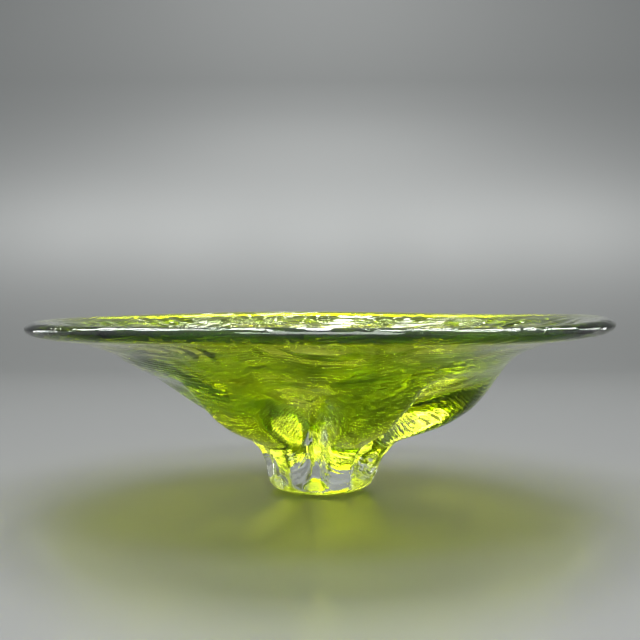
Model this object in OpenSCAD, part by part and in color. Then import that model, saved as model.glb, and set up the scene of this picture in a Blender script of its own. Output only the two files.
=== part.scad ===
// Art glass bowl: a green blown bowl with a wide flange, cased outside in clear glass.
// The casing is pinched into five ribs and ends in a solid clear foot, ground flat below.
// +Z is up, the origin is the centre of the ground flat, and -Y is the front.

/* [Bowl] */
// Width across the rim
bowl_width = 360; // [300:5:420]
// Height of the rim above the table
rim_height = 107; // [95:1:125]
// How far the rim rises and falls round the bowl, 1 being as blown
rim_wave = 1; // [0:0.1:2]

/* [Foot] */
// Radius of the ground flat under the foot
foot_flat_r = 24; // [20:0.5:28]
// Radius of the foot at its waist
foot_r = 35; // [33:0.5:37]
// How deep the soft flutes down the foot are, 1 being as tooled
flute_depth = 1; // [0:0.1:1.5]

/* [Ribs] */
// How far the ribs stand out from the grooves, 1 being as tooled
rib_depth = 1; // [0:0.05:1.05]

/* [Layers] */
// Height of the basin's floor above the table
floor_z = 52; // [51:0.5:54]
// Height of the green layer's underside above the table
green_z = 43; // [42:0.5:44]

/* [Hidden] */

around = 80;      // facets round the bowl
steps = 2;        // rings in each span of a profile
// The crest of each rib and the bottom of the groove that follows it, in degrees from
// the front, positive towards +X
crests = [-34, 20, 90, 165, 240];
grooves = [-6, 45, 127, 203, 303];
// How far each crest stands out, from 0 on the groove's profile to 1 on the crest's
reach = [0.85, 0.8, 1, 0.9, 0.3];
// The same for the seam under each rib, as the green runs out into some ribs only. A rib
// that the green doesn't run into is clear glass right through.
seam_reach = [0.05, 1.15, 0.1, 1, 0.6];
// How deep the grooves are pressed into each skin, on the same scale
outer_press = -1.2;
seam_press = -0.3;
basin_press = -0.3;
// The section of a rib: where its flanks are between crest and groove, how steep they are,
// and how domed the rib is
flank = 0.64;
steepness = 7;
crown = 0.2;

// The profiles below are points of radius and height on a bowl of this width and height
drawn_width = 360;
drawn_height = 107;
wide = bowl_width / drawn_width;
tall = rim_height / drawn_height;

wave_from_r = 105;  // the rim's wave grows from this radius
wave_over_r = 50;   // over this distance
flutes_from = 1;    // the foot's flutes start at this height,
flutes_full = 8;    // are deepest between these two,
flutes_fade = 22;
flutes_to = 46;     // and are gone above this one

// The rounded edge of the rim, from its crown over to where the casing thins out under it
rim_edge = [[174.5, 107], [180, 103.8], [178.4, 100], [173, 98.2], [166, 97.5]];
rim_joint = rim_edge[len(rim_edge) - 1];

outer_groove = [
    [foot_flat_r, 0], [foot_r - 4.5, 3], [foot_r - 3, 9], [foot_r - 1.5, 17], [37, 24.5],
    [44, 31.5], [54, 39.5], [66, 47], [77, 54], [88, 60.5], [98, 67], [109, 74], [118.5, 81],
    [130, 88.2], [148.5, 94.6], rim_joint
];
outer_crest = [
    [foot_flat_r, 0], [foot_r - 4, 3], [foot_r, 9], [foot_r + 3, 17], [43, 24.5],
    [50, 31], [66, 36.5], [82, 43], [94, 51], [101.5, 58.5], [107, 66], [112, 74], [118, 81.2],
    [129, 88.1], [148.5, 94.6], rim_joint
];
seam_groove = [
    [0, green_z], [10, green_z + 1.5], [20, 49], [30, 54], [41, 59.5], [53, 65], [66, 70],
    [80, 75.2], [95, 80], [110, 84.2], [127, 89], [143, 94], [156, 96.8], rim_joint
];
seam_crest = [
    [0, green_z], [12, green_z - 1.5], [23, 42.5], [34, 47], [46, 53.5], [58, 60], [71, 67],
    [84, 74], [98, 80], [112, 84.8], [128, 89.5], [143, 94.1], [156, 96.9], rim_joint
];
basin_groove = concat([
    [0, floor_z], [9, floor_z + 1], [19, 57], [30, 62], [42, 68], [56, 74], [73, 80.5],
    [93, 86.5], [115, 92], [138, 98.1], [156, 103], [167, 106]
], rim_edge);
basin_crest = concat([
    [0, floor_z], [11, floor_z], [23, 55], [35, 60.5], [48, 67], [61, 73], [77, 79.5],
    [95, 86], [116, 92], [138, 98], [156, 103], [167, 106]
], rim_edge);

// A value easing from 0 to 1
function ease(x) = let(c = min(1, max(0, x))) c * c * (3 - 2 * c);

// The section of a rib, from 1 on its crest at x = 0 to almost 0 in the groove at x = 1
function rib(x) = (1 - crown * x * x) / (1 + pow(x / flank, steepness));

// How far the glass stands out at an angle, from the groove's profile (0) to the crest's (1)
function stand(a, reach, press, i = 0) =
    let(after = i + 1 < len(crests) ? crests[i + 1] : crests[0] + 360,
        falls = a < grooves[i],
        from = falls ? crests[i] : after,
        top = falls ? reach[i] : reach[(i + 1) % len(crests)])
    a < after ? press + (top - press) * rib((a - from) / (grooves[i] - from))
    : stand(a, reach, press, i + 1);

// The flutes down the foot at an angle and height, as a change of radius
function flute(a, z) = flute_depth * (0.55 * cos(11 * a + 23) + 0.25 * cos(7 * a + 172))
    * ease((z - flutes_from) / (flutes_full - flutes_from))
    * ease((flutes_to - z) / (flutes_to - flutes_fade));

// The rise of the rim at an angle: highest at the right tip, lowest at the left
function rise(a) = rim_wave * (0.9 * sin(a) - 0.6 * sin(3 * a) + 0.4 * cos(a) + 0.4 * cos(4 * a));

// A smooth curve through the points p, at u spans from its start
function curve(p, u) =
    let(i = min(floor(u), len(p) - 2), t = u - i,
        b = p[i], c = p[i + 1],
        a = i > 0 ? p[i - 1] : 2 * b - c,
        d = i + 2 < len(p) ? p[i + 2] : 2 * c - b)
    (2 * b + (c - a) * t + (2 * a - 5 * b + 4 * c - d) * t * t
        + (3 * b - a - 3 * c + d) * t * t * t) / 2;

// One ring of a skin, between the groove's and the crest's profile, as points
function ring(groove, crest, reach, press, fluted, u) = [
    for (j = [0 : around - 1])
        let(a = 360 * j / around,
            g = curve(groove, u),
            turned = a < crests[0] + 360 ? a : a - 360,
            p = g + (curve(crest, u) - g) * rib_depth * stand(turned, reach, press),
            r = p[0] + (fluted ? flute(a, p[1]) : 0),
            lift = ease((p[0] - wave_from_r) / wave_over_r) * rise(a))
        [wide * r * sin(a), -wide * r * cos(a), tall * (p[1] + lift)]
];

// Rings from one end of a skin's profiles to the other
function rings(groove, crest, reach, press, first, last, fluted = false) = [
    for (k = [first * steps : last * steps])
        ring(groove, crest, reach, press, fluted, k / steps)
];

function backwards(list) = [for (i = [len(list) - 1 : -1 : 0]) list[i]];

// The closed skin over a stack of rings, with a point on the axis at each end.
// lean picks the diagonal of each facet, so that two bodies meet face to face.
module skin(stack, below, above, lean) {
    count = len(stack);
    points = concat([for (r = stack) each r], [below, above]);
    function at(k, j) = k * around + (j + around) % around;
    facets = [
        for (k = [0 : count - 2], j = [0 : around - 1])
            each lean
                ? [[at(k, j), at(k + 1, j), at(k, j + 1)],
                    [at(k, j + 1), at(k + 1, j), at(k + 1, j + 1)]]
                : [[at(k, j), at(k + 1, j), at(k + 1, j + 1)],
                    [at(k, j), at(k + 1, j + 1), at(k, j + 1)]]
    ];
    bottom = [for (j = [0 : around - 1]) [count * around, at(0, j), at(0, j + 1)]];
    top = [for (j = [0 : around - 1]) [count * around + 1, at(count - 1, j + 1), at(count - 1, j)]];
    polyhedron(points, concat(bottom, facets, top));
}

outer_spans = len(outer_crest) - 1;
seam_spans = len(seam_crest) - 1;
basin_spans = len(basin_crest) - 1;

// The tinted bowl: its underside is the seam, its upper side the basin, flange and rim
module green_bowl() {
    under = rings(seam_groove, seam_crest, seam_reach, seam_press, 1 / steps, seam_spans);
    over = rings(basin_groove, basin_crest, reach, basin_press, 1 / steps,
        basin_spans - 1 / steps);
    color([0.6, 0.75, 0.12, 0.7])
        skin(concat(under, backwards(over)),
            [0, 0, tall * green_z], [0, 0, tall * floor_z], false);
}

// The clear glass over it: the ribs, and the solid foot with its ground flat
module clear_casing() {
    outside = rings(outer_groove, outer_crest, reach, outer_press, 0, outer_spans, true);
    seam = rings(seam_groove, seam_crest, seam_reach, seam_press, 1 / steps,
        seam_spans - 1 / steps);
    color([0.88, 0.92, 0.88, 0.5])
        skin(concat(outside, backwards(seam)), [0, 0, 0], [0, 0, tall * green_z], true);
}

green_bowl();
clear_casing();
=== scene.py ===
# %% [markdown]
# # A green art glass bowl
# The real piece is blown and cased: a tinted bowl with a wide flange, and clear glass gathered
# over its outside, pinched with tools into five ribs while it was soft, and ground flat below.
# This lesson builds both layers as closed meshes and lets light do the rest, because what you
# see in such a bowl is almost all refraction: the shape of each surface is the look.

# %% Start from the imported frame
import math

import bpy
import numpy as np
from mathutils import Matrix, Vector


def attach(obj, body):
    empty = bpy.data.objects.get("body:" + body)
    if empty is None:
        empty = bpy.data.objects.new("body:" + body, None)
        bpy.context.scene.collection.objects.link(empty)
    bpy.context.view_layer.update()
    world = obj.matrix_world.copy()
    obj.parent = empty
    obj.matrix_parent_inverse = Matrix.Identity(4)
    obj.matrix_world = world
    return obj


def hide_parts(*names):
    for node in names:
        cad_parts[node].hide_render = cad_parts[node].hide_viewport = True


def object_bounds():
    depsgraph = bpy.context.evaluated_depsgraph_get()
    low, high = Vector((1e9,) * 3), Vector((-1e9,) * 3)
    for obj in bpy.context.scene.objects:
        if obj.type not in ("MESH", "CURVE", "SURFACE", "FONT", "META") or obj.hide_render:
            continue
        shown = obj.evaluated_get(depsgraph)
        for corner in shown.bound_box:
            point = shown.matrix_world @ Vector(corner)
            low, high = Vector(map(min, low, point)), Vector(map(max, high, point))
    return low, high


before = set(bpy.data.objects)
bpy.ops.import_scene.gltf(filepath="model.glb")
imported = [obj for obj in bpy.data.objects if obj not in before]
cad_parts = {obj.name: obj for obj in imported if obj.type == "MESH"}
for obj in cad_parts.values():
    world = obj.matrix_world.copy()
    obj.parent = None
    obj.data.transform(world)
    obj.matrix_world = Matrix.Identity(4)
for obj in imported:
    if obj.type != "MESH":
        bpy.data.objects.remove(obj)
cad_low, cad_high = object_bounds()
half_width = cad_high.x
rim_top = cad_high.z
MM = 0.001
print("bowl is %.1f mm wide and %.1f mm high" % (2 * half_width / MM, rim_top / MM))

# %% [markdown]
# ## Profiles
# A bowl like this is a surface of revolution that was pressed in between its ribs. So each skin
# is described by two profiles, one down a groove and one down the crest of a rib, as points of
# radius and height in millimetres. Everything between them is a blend by the angle.
# Drawing profiles is how a glass worker thinks of the piece too, and it stays easy to correct.

# %% The points of the profiles, in millimetres
FOOT_FLAT = 24          # radius of the ground flat
FLOOR = 52              # height of the basin's floor
GREEN_FLOOR = 43        # height of the green layer's underside on the axis
JOINT = (166, 97.5)     # where the clear casing thins out under the flange
RIM = [(174.5, 107), (180, 103.8), (178.4, 100), (173, 98.2), JOINT]

OUTER_GROOVE = [
    (FOOT_FLAT, 0), (30.5, 3), (32, 9), (33.5, 17), (37, 24.5), (44, 31.5), (54, 39.5), (66, 47),
    (77, 54), (88, 60.5), (98, 67), (109, 74), (118.5, 81), (130, 88.2), (148.5, 94.6), JOINT]
OUTER_CREST = [
    (FOOT_FLAT, 0), (31, 3), (35, 9), (38, 17), (43, 24.5), (50, 31), (66, 36.5), (82, 43),
    (94, 51), (101.5, 58.5), (107, 66), (112, 74), (118, 81.2), (129, 88.1), (148.5, 94.6), JOINT]
SEAM_GROOVE = [
    (0, GREEN_FLOOR), (10, 44.5), (20, 49), (30, 54), (41, 59.5), (53, 65), (66, 70),
    (80, 75.2), (95, 80), (110, 84.2), (127, 89), (143, 94), (156, 96.8), JOINT]
SEAM_CREST = [
    (0, GREEN_FLOOR), (12, 41.5), (23, 42.5), (34, 47), (46, 53.5), (58, 60), (71, 67),
    (84, 74), (98, 80), (112, 84.8), (128, 89.5), (143, 94.1), (156, 96.9), JOINT]
BASIN_GROOVE = [
    (0, FLOOR), (9, 53), (19, 57), (30, 62), (42, 68), (56, 74), (73, 80.5), (93, 86.5),
    (115, 92), (138, 98.1), (156, 103), (167, 106)] + RIM
BASIN_CREST = [
    (0, FLOOR), (11, 52), (23, 55), (35, 60.5), (48, 67), (61, 73), (77, 79.5), (95, 86),
    (116, 92), (138, 98), (156, 103), (167, 106)] + RIM
print("profiles of", len(OUTER_CREST), len(SEAM_CREST), "and", len(BASIN_CREST), "points")

# %% [markdown]
# ## A smooth line through points
# Hot glass has no corners, so the points are joined by a curve that passes through every one of
# them with no kink. A uniform Catmull-Rom curve does that with one short formula.

# %% Curve and ease
STEPS = 7               # rings in each span of a profile


def curve(profile):
    """Points on the smooth curve through a profile's points, STEPS to a span."""
    p = np.array(profile, float)
    p = np.vstack([2 * p[0] - p[1], p, 2 * p[-1] - p[-2]])
    t = (np.arange(STEPS) / STEPS)[:, None]
    spans = []
    for a, b, c, d in zip(p, p[1:], p[2:], p[3:]):
        spans.append((2 * b + (c - a) * t + (2 * a - 5 * b + 4 * c - d) * t ** 2
                      + (3 * b - a - 3 * c + d) * t ** 3) / 2)
    return np.vstack(spans + [p[-2][None]])


def ease(x):
    """Goes from 0 to 1 without a kink at either end."""
    x = np.clip(x, 0, 1)
    return x * x * (3 - 2 * x)


print("the outer skin has", len(curve(OUTER_CREST)), "rings")

# %% [markdown]
# ## The ribs
# Five ribs stand out of the casing, with a narrow groove pinched in between each two. They were
# pinched by hand, so no two are alike: they differ in angle and in how far they stand out. Each
# is rounded on top and steep at its sides, which one short formula gives. The tool pressed the
# outside deeply and the layers under it less, so every skin takes a depth of its own.

# %% How far the glass stands out at each angle
CRESTS = [-34, 20, 90, 165, 240]        # degrees from the front, towards +X
GROOVES = [-6, 45, 127, 203, 303]
RIBS = len(CRESTS)
REACH = [0.85, 0.8, 1.0, 0.9, 0.3]      # 1 is on the crest's profile, 0 on the groove's
SEAM_REACH = [0.05, 1.15, 0.1, 1.0, 0.6]  # the green runs out into some ribs and not into others
OUTER_PRESS, SEAM_PRESS, BASIN_PRESS = -1.2, -0.3, -0.3
FLANK, STEEPNESS, CROWN = 0.64, 7, 0.2  # where a flank is, how steep, and how domed the top
RIM_TILT, RIM_RIPPLE, RIM_NOD, RIM_FLUTTER = 0.9, 0.6, 0.4, 0.4  # the rim's waves, in millimetres


def section(angle, reaches):
    """How far an angle lies from its rib's crest (0) towards its groove (1), and that rib's reach."""
    angle = (angle - CRESTS[0]) % 360 + CRESTS[0]
    share, reach = np.zeros_like(angle), np.zeros_like(angle)
    for i, (crest, groove) in enumerate(zip(CRESTS, GROOVES)):
        after = CRESTS[i + 1] if i + 1 < RIBS else CRESTS[0] + 360
        falling = (angle >= crest) & (angle < groove)
        rising = (angle >= groove) & (angle < after)
        share[falling] = (angle[falling] - crest) / (groove - crest)
        share[rising] = (after - angle[rising]) / (after - groove)
        reach[falling], reach[rising] = reaches[i], reaches[(i + 1) % RIBS]
    return share, reach


def stand(angle, reaches, press):
    """How far the glass stands out, when its grooves are pressed in by that much."""
    share, reach = section(angle, reaches)
    lobe = (1 - CROWN * share ** 2) / (1 + (share / FLANK) ** STEEPNESS)
    return press + (reach - press) * lobe


def rise(angle):
    """How far the flange lifts or droops at an angle, in millimetres."""
    a = np.radians(angle)
    return (RIM_TILT * np.sin(a) - RIM_RIPPLE * np.sin(3 * a)
            + RIM_NOD * np.cos(a) + RIM_FLUTTER * np.cos(4 * a))


print("the crests stand out by", stand(np.array(CRESTS, float), REACH, OUTER_PRESS).round(2).tolist())

# %% [markdown]
# ## Sweeping the profiles round
# Each skin becomes a grid: one row of points for each angle, one column for each ring. The grid
# is kept as an array, so that tool marks can be added to it as plain sums.

# %% The grid of one skin
AROUND = 480            # points round the bowl
WAVE_FROM = 105         # the flange's wave grows from this radius
WAVE_OVER = 50          # over this distance
angles = 360 * np.arange(AROUND) / AROUND


def skin(groove, crest, reaches, press):
    """Radius and height of every point of a skin, as two grids [angle, ring]."""
    low, high = curve(groove), curve(crest)
    grid = low[None] + (high - low)[None] * stand(angles, reaches, press)[:, None, None]
    radius, height = grid[..., 0], grid[..., 1]
    height = height + ease((radius - WAVE_FROM) / WAVE_OVER) * rise(angles)[:, None]
    return radius, height


outer_r, outer_z = skin(OUTER_GROOVE, OUTER_CREST, REACH, OUTER_PRESS)
seam_r, seam_z = skin(SEAM_GROOVE, SEAM_CREST, SEAM_REACH, SEAM_PRESS)
basin_r, basin_z = skin(BASIN_GROOVE, BASIN_CREST, REACH, BASIN_PRESS)
print("one skin is a grid of", outer_r.shape)

# %% [markdown]
# ## Tool marks
# Look along real hand-worked glass and it is never quite smooth: the jacks leave flutes down the
# foot, the spinning leaves soft rings in the flange, and the basin's floor puckers where the
# ribs were pulled. These are true shape, not bump, because they bend what is seen through them.
# Each is a sum of a few waves whose lengths don't divide evenly, so that it never repeats.

# %% Flutes down the foot and puckers in the basin
FLUTES = [(0.55, 11, 0.4), (0.35, 17, 1.9), (0.25, 7, 3.0)]     # millimetres, how many, start
PUCKERS = [(0.9, 19, 0.0), (0.6, 27, 1.0), (0.5, 13, 2.0)]
turn = np.radians(angles)[:, None]


def waves(terms):
    """A sum of waves round the bowl, each given as its strength, how many and its start."""
    return sum(strength * np.cos(many * turn + start) for strength, many, start in terms)


def fade(value, start, full, empty, end):
    """1 between full and empty, easing to 0 at start and end."""
    return ease((value - start) / (full - start)) * ease((end - value) / (end - empty))


flutes = waves(FLUTES)
puckers = waves(PUCKERS)
outer_r += flutes * fade(outer_z, start=1, full=8, empty=22, end=46)
print("flutes up to %.2f mm, puckers up to %.2f mm" % (np.abs(flutes).max(), np.abs(puckers).max()))

# %% [markdown]
# Spinning leaves two sets of rings, a fine one that sways as it goes round and a broad one. The
# outside has them in its flange, and the basin gets a set of its own further on.

# %% Rings from the spinning
OUTER_RINGS, BASIN_RINGS = 0.12, 0.13           # millimetres


def spun_rings(radius, lobes, fine, sway, start, broad, share):
    """Soft rings: a fine set that sways a few times round the bowl, and a share of a broad set."""
    return (np.sin(radius * fine + sway * np.sin(lobes * turn + start))
            + share * np.sin(radius * broad + lobes * turn))


rings = spun_rings(outer_r, lobes=2, fine=0.36, sway=1.3, start=0.5, broad=0.23, share=0.6)
outer_z += OUTER_RINGS * rings * fade(outer_r, start=70, full=100, empty=140, end=165)
print("rings up to %.2f mm" % (OUTER_RINGS * np.abs(rings).max()))

# %% [markdown]
# Where the glass was pulled and folded while soft, its skin keeps low swells that wind about like
# the rings of a tree. They follow the contours of a smooth field made of a few crossing waves,
# with a hill on the face of each rib, so that rings close round it.

# %% Swells that wind over both skins
# Each wave: its strength, its phase for a millimetre of x, of y and of height, and its seeds
FIELD = [(1.0, 1 / 23, 1 / 41, 0, 1), (1.0, 0, 1 / 19, -1 / 27, 2),
         (1.0, 1 / 37, 0, 1 / 15, -1), (0.5, 1 / 11, -1 / 13, 0, 3)]
FIELD_PULL = 0.8        # how many lines one wave of the field moves the pattern by
HILL_PULL = 4           # how many rings close round the face of a rib
OUTER_SWELL, BASIN_SWELL, BASIN_FINE = 0.22, 0.8, 0.06          # millimetres
rib_face = 1 - section(angles, REACH)[0][:, None] ** 2


def swells(radius, height, spacing, seed):
    """Swells from -1 to 1, whose lines lie about that many millimetres apart."""
    x, y = radius * np.sin(turn), -radius * np.cos(turn)
    field = sum(strength * np.sin(x * by_x + y * by_y + height * by_z + seeds * seed)
                for strength, by_x, by_y, by_z, seeds in FIELD)
    hill = rib_face * fade(height, start=20, full=50, empty=52, end=82)
    lines = (radius + height) / spacing + FIELD_PULL * field + HILL_PULL * hill
    return np.sin(2 * math.pi * lines)


outer_r += (OUTER_SWELL * swells(outer_r, outer_z, spacing=48, seed=0.7)
            * fade(outer_r + outer_z, start=50, full=75, empty=200, end=240))
basin_z += puckers * fade(basin_r, start=3, full=12, empty=26, end=60)
pulled = spun_rings(basin_r, lobes=3, fine=0.31, sway=1.1, start=1.0 + math.pi / 2,
                    broad=0.19, share=0.5)
basin_z += BASIN_RINGS * pulled * fade(basin_r, start=40, full=80, empty=140, end=165)
basin_z += (BASIN_SWELL * swells(basin_r, basin_z, spacing=42, seed=2.1)
            * fade(basin_r, start=8, full=30, empty=150, end=165))
basin_z += (BASIN_FINE * swells(basin_r, basin_z, spacing=9, seed=4.3)
            * fade(basin_r, start=20, full=50, empty=140, end=160))
print("the basin's floor is now %.2f mm high at its lowest" % basin_z.min())

# %% [markdown]
# ## Closing a skin into a body
# Glass only refracts properly if its mesh is closed and its faces all look outwards. Where the
# two layers are fused there is no surface at all in the real bowl, so the faces of that seam are
# marked with 0 in an attribute named shown, and the material lets light straight through them.
# They still tell the renderer where the green glass starts and ends.

# %% From grids to one closed mesh
def as_points(radius, height):
    """A grid's points in millimetres, as [angle, ring, 3]."""
    return np.stack([radius * np.sin(turn), -radius * np.cos(turn), height], -1)


def closed_body(name, below, above, bottom, top, shown_below):
    """A closed mesh from a lower and an upper grid that share their outermost ring."""
    stack = np.concatenate([below, above[:, ::-1][:, 1:]], 1)
    count = stack.shape[1]
    joint = below.shape[1] - 1
    grid = np.arange(count * AROUND).reshape(count, AROUND)
    after = np.roll(grid, -1, 1)
    low, high = grid.size, grid.size + 1
    quads = np.stack([grid[:-1], after[:-1], after[1:], grid[1:]], -1).reshape(-1, 4)
    verts = np.vstack([stack.transpose(1, 0, 2).reshape(-1, 3), [(0, 0, bottom), (0, 0, top)]])
    faces = quads.tolist()
    faces += [(low, b, a) for a, b in zip(grid[0], after[0])]
    faces += [(high, a, b) for a, b in zip(grid[-1], after[-1])]
    is_below = [k < joint for k in range(count - 1) for _ in range(AROUND)]
    is_below += [True] * AROUND + [False] * AROUND
    mesh = bpy.data.meshes.new(name)
    mesh.from_pydata((verts * MM).tolist(), [], faces)
    shown = mesh.attributes.new("shown", "FLOAT", "FACE")
    shown.data.foreach_set("value", [float(b == shown_below) for b in is_below])
    mesh.polygons.foreach_set("use_smooth", [True] * len(faces))
    ring = set(grid[joint].tolist())
    sharp = mesh.attributes.new("sharp_edge", "BOOLEAN", "EDGE")
    sharp.data.foreach_set("value", [set(e.vertices) <= ring for e in mesh.edges])
    mesh.update()
    body = bpy.data.objects.new(name, mesh)
    bpy.context.scene.collection.objects.link(body)
    print(name, "has", len(mesh.vertices), "points and", len(mesh.polygons), "faces")
    return body


# %% [markdown]
# ## The green bowl and its clear casing
# The green layer runs from the seam up over the basin, the flange and the rounded rim. The clear
# casing runs from the ground flat up the ribs, and back along the same seam. The green layer's
# side of the seam is lifted by a hair, because two surfaces in exactly one place would leave the
# renderer guessing which one a ray meets first.

# %% Build both layers
HAIR = 0.02                                     # millimetres
FLAT_RINGS = np.array([0.3, 0.6, 0.85, 0.96])   # rings on the ground flat keep its shading flat

lift = HAIR * np.linspace(1, 0, seam_r.shape[1])
green_under = as_points(seam_r, seam_z + lift)[:, 1:]
green_over = as_points(basin_r, basin_z)[:, 1:]
green_glass_bowl = closed_body(
    "green_glass_bowl", green_under, green_over, GREEN_FLOOR + HAIR, FLOOR, shown_below=False)

flat_r = np.repeat(FOOT_FLAT * FLAT_RINGS[None], AROUND, 0)
casing_out = as_points(np.hstack([flat_r, outer_r]), np.hstack([0 * flat_r, outer_z]))
casing_in = as_points(seam_r, seam_z)[:, 1:]
clear_glass_casing = closed_body(
    "clear_glass_casing", casing_out, casing_in, 0, GREEN_FLOOR, shown_below=True)

# %% [markdown]
# ## Fitting the frame
# The meshes were drawn in millimetres at the bowl's usual size. They are now scaled to the
# frame's own box, so a wider or taller bowl needs no change here.

# %% Scale to the frame
def fit_to_frame(pieces):
    """Scales the meshes so that together they fill the frame's box."""
    co = np.array([v.co for piece in pieces for v in piece.data.vertices])
    across = min(half_width / co[:, 0].max(), cad_low.x / co[:, 0].min())
    upward = rim_top / co[:, 2].max()
    for piece in pieces:
        for v in piece.data.vertices:
            v.co = (v.co.x * across, v.co.y * across, v.co.z * upward)
        piece.data.update()
    print("scaled by %.4f across and %.4f upwards" % (across, upward))


fit_to_frame([green_glass_bowl, clear_glass_casing])

# %% [markdown]
# ## Cords
# Glass that was gathered twice holds cords: fine streaks where two melts met, which show as
# swirling lines like the rings of a tree. Any surface whose height follows the contours of a
# smooth noise has that look. Both layers show it, so it is a node group with its own inputs,
# and it gives out only a height and a mask.

# %% Small helpers for node groups
def new_group(name, inputs, outputs):
    """An empty shader node group with float sockets, and its two end nodes."""
    group = bpy.data.node_groups.new(name, "ShaderNodeTree")
    for label, value in inputs:
        socket = group.interface.new_socket(label, in_out="INPUT", socket_type="NodeSocketFloat")
        socket.default_value = value
    for label in outputs:
        group.interface.new_socket(label, in_out="OUTPUT", socket_type="NodeSocketFloat")
    return group, group.nodes.new("NodeGroupInput"), group.nodes.new("NodeGroupOutput")


def math_node(tree, operation, a, b=None, c=None):
    """A Math node whose inputs are sockets or numbers. Returns its output."""
    node = tree.nodes.new("ShaderNodeMath")
    node.operation = operation
    for socket, value in zip(node.inputs, (a, b, c)):
        if value is None:
            continue
        if isinstance(value, bpy.types.NodeSocket):
            tree.links.new(value, socket)
        else:
            socket.default_value = value
    return node.outputs[0]


def noise_node(tree, vector, scale, detail):
    """Smooth noise, read at a vector. Returns its value from 0 to 1."""
    node = tree.nodes.new("ShaderNodeTexNoise")
    node.inputs["Scale"].default_value = scale
    node.inputs["Detail"].default_value = detail
    tree.links.new(vector, node.inputs["Vector"])
    return node.outputs["Fac"]


print("helpers for Blender", bpy.app.version_string, "are ready")

# %% [markdown]
# The lines run along the skin by the sum of radius and height, which grows steadily from the foot
# to the rim. Broad noise bends them, a power makes each one narrower than its gap, and finer
# noise lets them come and go in patches.

# %% The node group for cords
BROAD_NOISE, FINE_NOISE = 16.0, 70.0            # noise cells in a metre
LINE_POWER = 3.0                                # a higher power gives narrower lines
PATCH_FROM, PATCH_FULL = 0.42, 0.62             # where on the fine noise a patch starts and is full
FAINTEST = 0.2                                  # how strong the cords are between patches


def build_cords():
    """Height in millimetres and a mask from 0 to 1, of cords that swirl through the glass."""
    group, given, result = new_group(
        "cords", [("Lines", 60.0), ("Swirl", 9.0), ("Depth", 0.05), ("Offset", 0.0)],
        ["Height", "Mask"])
    place = group.nodes.new("ShaderNodeTexCoord").outputs["Object"]
    parts = group.nodes.new("ShaderNodeSeparateXYZ")
    group.links.new(place, parts.inputs[0])
    x_squared = math_node(group, "MULTIPLY", parts.outputs["X"], parts.outputs["X"])
    squared = math_node(group, "MULTIPLY_ADD", parts.outputs["Y"], parts.outputs["Y"], x_squared)
    along = math_node(group, "ADD", math_node(group, "SQRT", squared), parts.outputs["Z"])
    broad = noise_node(group, place, BROAD_NOISE, 1.0)
    fine = noise_node(group, place, FINE_NOISE, 2.0)
    phase = math_node(group, "MULTIPLY", along, given.outputs["Lines"])
    phase = math_node(group, "MULTIPLY_ADD", broad, given.outputs["Swirl"], phase)
    phase = math_node(group, "ADD", phase, given.outputs["Offset"])
    wave = math_node(group, "SINE", math_node(group, "MULTIPLY", phase, 2 * math.pi))
    crest = math_node(group, "MULTIPLY_ADD", wave, 0.5, 0.5)
    line = math_node(group, "POWER", crest, LINE_POWER)
    patches = group.nodes.new("ShaderNodeMapRange")
    patches.inputs["From Min"].default_value = PATCH_FROM
    patches.inputs["From Max"].default_value = PATCH_FULL
    group.links.new(fine, patches.inputs["Value"])
    strength = math_node(group, "MULTIPLY_ADD", patches.outputs["Result"], 1 - FAINTEST, FAINTEST)
    mask = math_node(group, "MULTIPLY", line, strength)
    height = math_node(group, "MULTIPLY", mask, given.outputs["Depth"])
    group.links.new(height, result.inputs["Height"])
    group.links.new(mask, result.inputs["Mask"])
    return group


cords = build_cords()
print("group", cords.name, "has", len(cords.nodes), "nodes")

# %% [markdown]
# ## Glass
# Clear and green glass are one material with different numbers. Colour in glass is depth: a
# thin edge looks pale and a thick one dark, so the tint is a volume that absorbs light, and the
# surface itself stays almost white. The ground flat under the foot is the one matt place.

# %% The glass material
GLASS_IOR = 1.5


def glass(name, density, tint, streak, cord_settings):
    """Glass whose tint is the colour left after 1/density metres, with cords in its skin."""
    material = bpy.data.materials.new(name)
    material.use_nodes = True
    tree = material.node_tree
    shader = tree.nodes["Principled BSDF"]
    shader.inputs["Transmission Weight"].default_value = 1.0
    shader.inputs["Roughness"].default_value = 0.0
    shader.inputs["IOR"].default_value = GLASS_IOR
    shown = tree.nodes.new("ShaderNodeAttribute")
    shown.attribute_name = "shown"
    tree.links.new(shown.outputs["Fac"], shader.inputs["Alpha"])

    marks = tree.nodes.new("ShaderNodeGroup")
    marks.node_tree = cords
    for label, value in cord_settings.items():
        marks.inputs[label].default_value = value
    bump = tree.nodes.new("ShaderNodeBump")
    bump.inputs["Distance"].default_value = MM
    tree.links.new(marks.outputs["Height"], bump.inputs["Height"])
    tree.links.new(bump.outputs["Normal"], shader.inputs["Normal"])

    colour = tree.nodes.new("ShaderNodeMix")
    colour.data_type = "RGBA"
    colour.inputs["A"].default_value = (1, 1, 1, 1)
    colour.inputs["B"].default_value = (*streak, 1)
    tree.links.new(marks.outputs["Mask"], colour.inputs["Factor"])
    tree.links.new(colour.outputs["Result"], shader.inputs["Base Color"])

    volume = tree.nodes.new("ShaderNodeVolumeAbsorption")
    volume.inputs["Density"].default_value = density
    volume.inputs["Color"].default_value = (*tint, 1)
    tree.links.new(volume.outputs[0], tree.nodes["Material Output"].inputs["Volume"])
    return material


green_glass = glass(
    "green_glass", density=400.0, tint=(0.918, 0.942, 0.066), streak=(0.97, 1.0, 0.90),
    cord_settings={"Lines": 210.0, "Swirl": 14.0, "Depth": 0.22})
clear_glass = glass(
    "clear_glass", density=2.5, tint=(0.4, 0.6, 0.3), streak=(0.98, 1.0, 0.98),
    cord_settings={"Lines": 190.0, "Swirl": 16.0, "Depth": 0.22, "Offset": 0.4})
print("materials:", green_glass.name, clear_glass.name)

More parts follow.
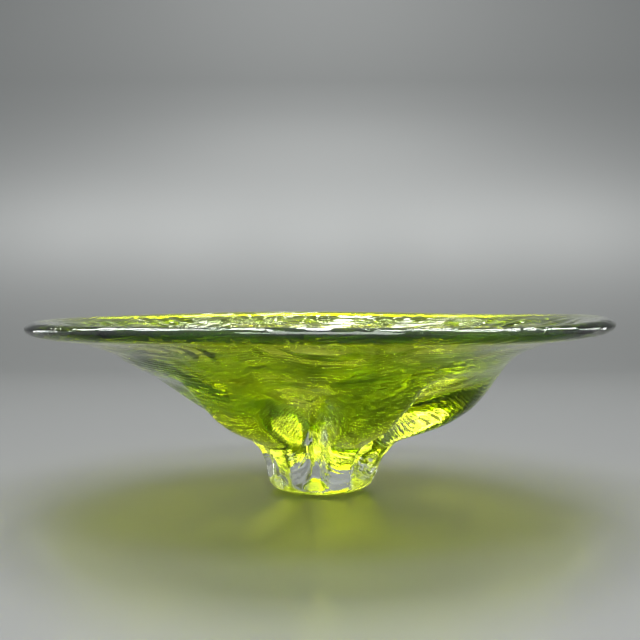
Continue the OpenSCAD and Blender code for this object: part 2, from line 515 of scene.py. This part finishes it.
# %% [markdown]
# ## The ground flat
# The foot was ground on a wheel so that the bowl stands steady. That leaves a matt disc, which
# shows through the clear foot as a soft white. Height alone tells where it is.

# %% Make the flat matt
FLAT_TOP = 0.0002       # metres above the table
FLAT_ROUGHNESS = 0.35


def grind_flat(material):
    """Gives everything below FLAT_TOP the roughness of ground glass."""
    tree = material.node_tree
    place = tree.nodes.new("ShaderNodeTexCoord")
    split = tree.nodes.new("ShaderNodeSeparateXYZ")
    tree.links.new(place.outputs["Object"], split.inputs[0])
    is_flat = math_node(tree, "LESS_THAN", split.outputs["Z"], FLAT_TOP)
    rough = math_node(tree, "MULTIPLY", is_flat, FLAT_ROUGHNESS)
    tree.links.new(rough, tree.nodes["Principled BSDF"].inputs["Roughness"])


grind_flat(clear_glass)
print("the flat's roughness is", FLAT_ROUGHNESS)

# %% [markdown]
# ## Joining the frame
# Each layer stands for one part of the frame: it takes its own glass material, joins the root body,
# and that part is hidden.

# %% Hand the pieces over
for piece, material, node, slot in (
        (green_glass_bowl, green_glass, "green_bowl", "green_glass"),
        (clear_glass_casing, clear_glass, "clear_casing", "clear_glass")):
    piece.data.materials.append(material)
    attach(piece, "root")
    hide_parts(node)
    print(piece.name, "stands for", node)

# %% [markdown]
# ## Floor and backdrop
# Glass shows what is around it, so the studio is part of its look. A plain sweep, bent up behind
# the bowl with no corner, gives the glass a calm grey to bend.

# %% The sweep
SWEEP_HALF_WIDTH, SWEEP_FRONT, SWEEP_BACK, SWEEP_TOP, SWEEP_BEND = 1.8, -1.6, 0.9, 1.6, 0.5
SWEEP_BEND_FROM, SWEEP_BEND_POINTS = 0.1, 14    # radians round the bend, and how many points
SWEEP_GAP = 0.0002      # keeps the floor just clear of the foot, so the two don't share a plane


def build_sweep():
    """A floor that curves up into a backdrop."""
    line = [(SWEEP_FRONT, 0.0), (SWEEP_BACK, 0.0)]
    line += [(SWEEP_BACK + SWEEP_BEND * math.sin(t), SWEEP_BEND * (1 - math.cos(t)))
             for t in np.linspace(SWEEP_BEND_FROM, math.pi / 2, SWEEP_BEND_POINTS)]
    line.append((SWEEP_BACK + SWEEP_BEND, SWEEP_TOP))
    n = len(line)
    verts = [(x, y, z + cad_low.z) for x in (-SWEEP_HALF_WIDTH, SWEEP_HALF_WIDTH) for y, z in line]
    faces = [(n + i, n + i + 1, i + 1, i) for i in range(n - 1)]
    mesh = bpy.data.meshes.new("sweep")
    mesh.from_pydata(verts, [], faces)
    mesh.polygons.foreach_set("use_smooth", [True] * len(faces))
    body = bpy.data.objects.new("sweep", mesh)
    body.location.z = -SWEEP_GAP
    bpy.context.scene.collection.objects.link(body)
    return body


def satin_paper():
    """Grey paper with a satin face, which keeps the floor's shading soft."""
    material = bpy.data.materials.new("paper")
    material.use_nodes = True
    shader = material.node_tree.nodes["Principled BSDF"]
    shader.inputs["Base Color"].default_value = (0.22, 0.225, 0.22, 1)
    shader.inputs["Roughness"].default_value = 0.45
    shader.inputs["Metallic"].default_value = 0.5
    return material


sweep = build_sweep()
sweep.data.materials.append(satin_paper())
print("sweep is", 2 * SWEEP_HALF_WIDTH, "m wide")

# %% [markdown]
# ## Light
# Wide soft light from above fills the glass, and narrow strips far to the sides and high behind
# draw the bright lines that show its curves. The strips are what make clear glass look like
# glass. An even, dim studio all round keeps the dark parts of the rim from going black.

# %% Lamps
AIM = Vector((0, 0, 0.06))
SIDE_STRIPS, SIDE_NEAREST, SIDE_GAP = 3, 1.15, 0.17     # how many a side, and metres across
HIGH_STRIPS, HIGH_GAP = 7, 0.26


def softbox(name, place, width, height, power):
    """A rectangular lamp that faces the bowl."""
    lamp = bpy.data.lights.new(name, "AREA")
    lamp.shape = "RECTANGLE"
    lamp.size, lamp.size_y, lamp.energy = width, height, power
    holder = bpy.data.objects.new(name, lamp)
    holder.location = place
    holder.rotation_euler = (AIM - Vector(place)).to_track_quat("-Z", "Y").to_euler()
    bpy.context.scene.collection.objects.link(holder)


softbox("top", (0.0, -0.1, 1.3), width=0.8, height=0.6, power=10)
for number in range(SIDE_STRIPS):
    across = SIDE_NEAREST + SIDE_GAP * number
    for side in (-1, 1):
        softbox("side_strip_%d_%d" % (side, number), (side * across, 0.95, 0.42),
                width=0.05, height=0.8, power=1.1)
for number in range(HIGH_STRIPS):
    across = HIGH_GAP * (number - HIGH_STRIPS // 2)
    softbox("high_strip_%d" % number, (across, 0.9, 1.15), width=0.08, height=0.7, power=2.9)

studio = bpy.data.worlds.new("studio")
studio.use_nodes = True
surround = studio.node_tree.nodes["Background"]
surround.inputs["Color"].default_value = (0.86, 0.90, 0.93, 1)
surround.inputs["Strength"].default_value = 0.62
bpy.context.scene.world = studio

# %% [markdown]
# ## Camera
# The camera stands two bowl widths away, a little above the rim, and looks almost level, so the
# flange shows as a thin band and the ribs are seen through the clear glass from the side.

# %% Place the camera
CAMERA_AWAY = 4.0 * half_width          # two widths
CAMERA_HEIGHT = 0.1291                  # metres above the table
CAMERA_TILT = math.radians(1.846)       # below level
SENSOR_WIDTH, FOCAL_LENGTH = 36, 64.6   # millimetres

lens = bpy.data.cameras.new("camera")
lens.sensor_width = SENSOR_WIDTH
lens.lens = FOCAL_LENGTH
camera = bpy.data.objects.new("camera", lens)
camera.location = (0, -CAMERA_AWAY, CAMERA_HEIGHT)
camera.rotation_euler = (math.pi / 2 - CAMERA_TILT, 0, 0)
bpy.context.scene.collection.objects.link(camera)
bpy.context.scene.camera = camera
print("camera is %.2f m away" % CAMERA_AWAY)

# %% [markdown]
# ## Bounces
# A ray inside thick glass turns back many times before it gets out. With too few bounces it is
# cut off, and the glass goes black at its edges.

# %% Bounce limits and view
GLASS_BOUNCES = 28
cycles = bpy.context.scene.cycles
cycles.max_bounces = GLASS_BOUNCES
cycles.transmission_bounces = GLASS_BOUNCES
cycles.transparent_max_bounces = 64
cycles.glossy_bounces = 12
cycles.diffuse_bounces = 4
bpy.context.scene.view_settings.view_transform = "Standard"
print("a ray may turn", GLASS_BOUNCES, "times inside the glass")
